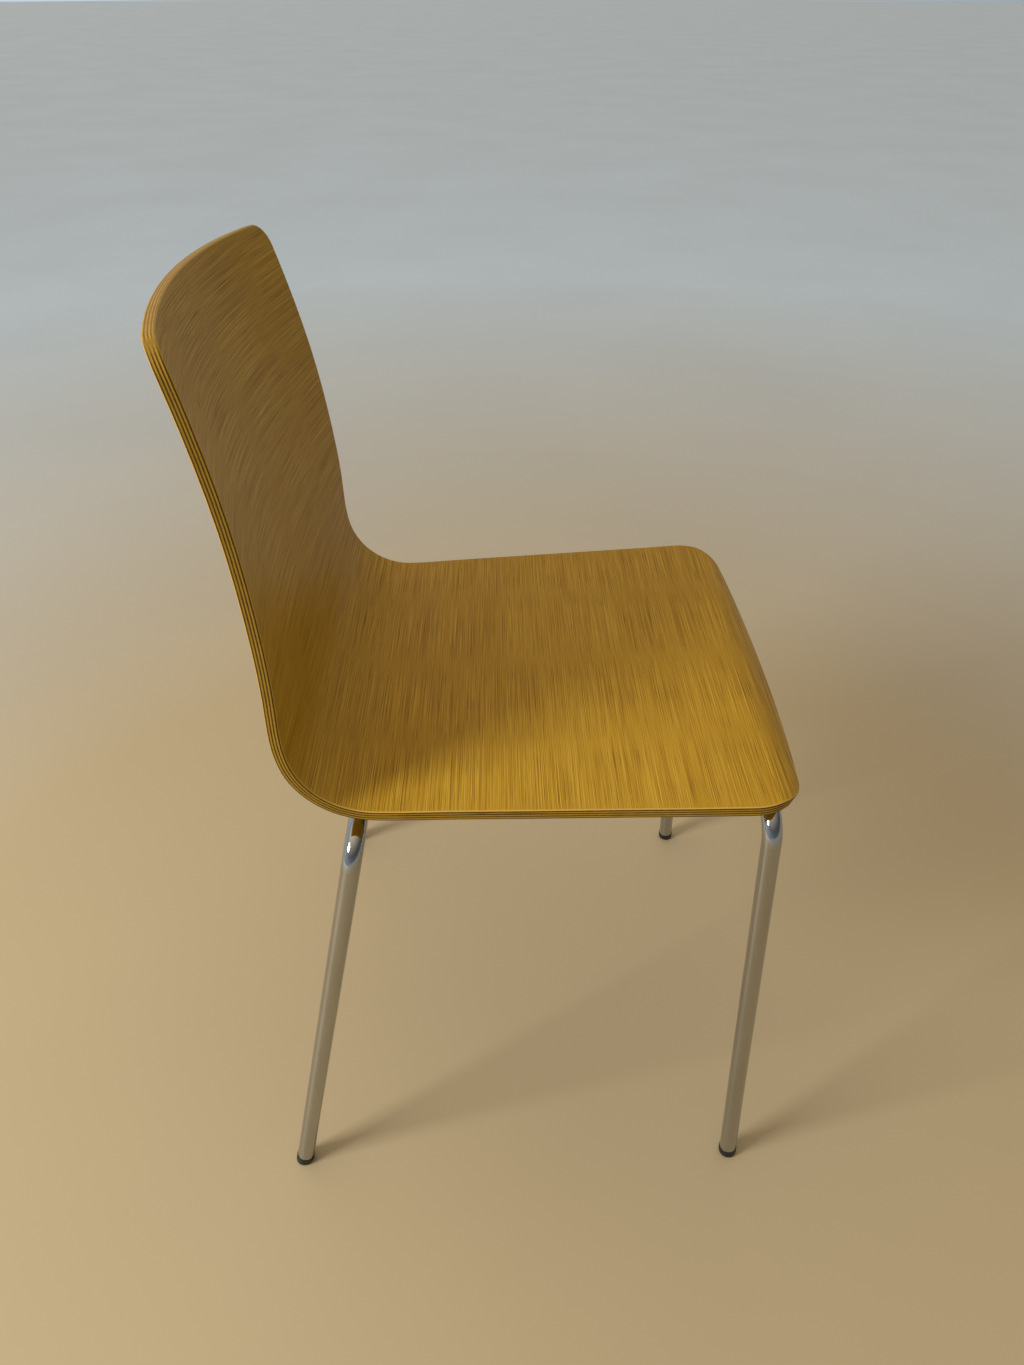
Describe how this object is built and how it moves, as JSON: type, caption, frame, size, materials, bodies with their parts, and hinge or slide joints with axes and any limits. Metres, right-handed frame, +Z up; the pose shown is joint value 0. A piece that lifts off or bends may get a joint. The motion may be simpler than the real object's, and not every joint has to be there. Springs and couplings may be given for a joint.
{
  "type": "stacking chair",
  "caption": "Stacking side chair: a one-piece pressed plywood seat and back, screwed under the seat to a frame of bent chromed tube with splayed legs.",
  "frame": {"origin": "on the floor, at the bottom centre of the chair's bounding box", "axes": "+Z up, -Y towards the front of the seat, X across the chair"},
  "size_m": [0.4668, 0.4784, 0.791],
  "materials": {
    "oak_veneer": "clear satin lacquer over quarter-cut oak",
    "light_ply": "lacquered ply edge, light",
    "dark_ply": "lacquered ply edge, dark end grain",
    "chromed_tube": "bright chrome plate",
    "chromed_plate": "bright chrome plate",
    "black_plastic": "moulded, fine grain",
    "grey_plastic": "soft moulded",
    "zinc_steel": "bright zinc plate"
  },
  "bodies": {
    "root": {"face_veneer": "oak_veneer", "back_veneer": "oak_veneer", "core_ply_1": "dark_ply", "core_ply_2": "light_ply", "core_ply_3": "dark_ply", "core_ply_4": "light_ply", "core_ply_5": "dark_ply", "core_ply_6": "light_ply", "core_ply_7": "dark_ply", "front_leg_tube": "chromed_tube", "rear_leg_tube": "chromed_tube", "left_side_rail": "chromed_tube", "right_side_rail": "chromed_tube", "front_left_foot": "black_plastic", "front_left_mounting_plate": "chromed_plate", "front_left_shell_pad": "grey_plastic", "front_left_stacking_bumper": "black_plastic", "front_right_foot": "black_plastic", "front_right_mounting_plate": "chromed_plate", "front_right_shell_pad": "grey_plastic", "front_right_stacking_bumper": "black_plastic", "rear_left_foot": "black_plastic", "rear_left_mounting_plate": "chromed_plate", "rear_left_shell_pad": "grey_plastic", "rear_left_stacking_bumper": "black_plastic", "rear_right_foot": "black_plastic", "rear_right_mounting_plate": "chromed_plate", "rear_right_shell_pad": "grey_plastic", "rear_right_stacking_bumper": "black_plastic", "front_mounting_screws": "zinc_steel", "rear_mounting_screws": "zinc_steel", "screw_washers": "zinc_steel", "tee_nuts": "zinc_steel"}
  },
  "joints": []
}
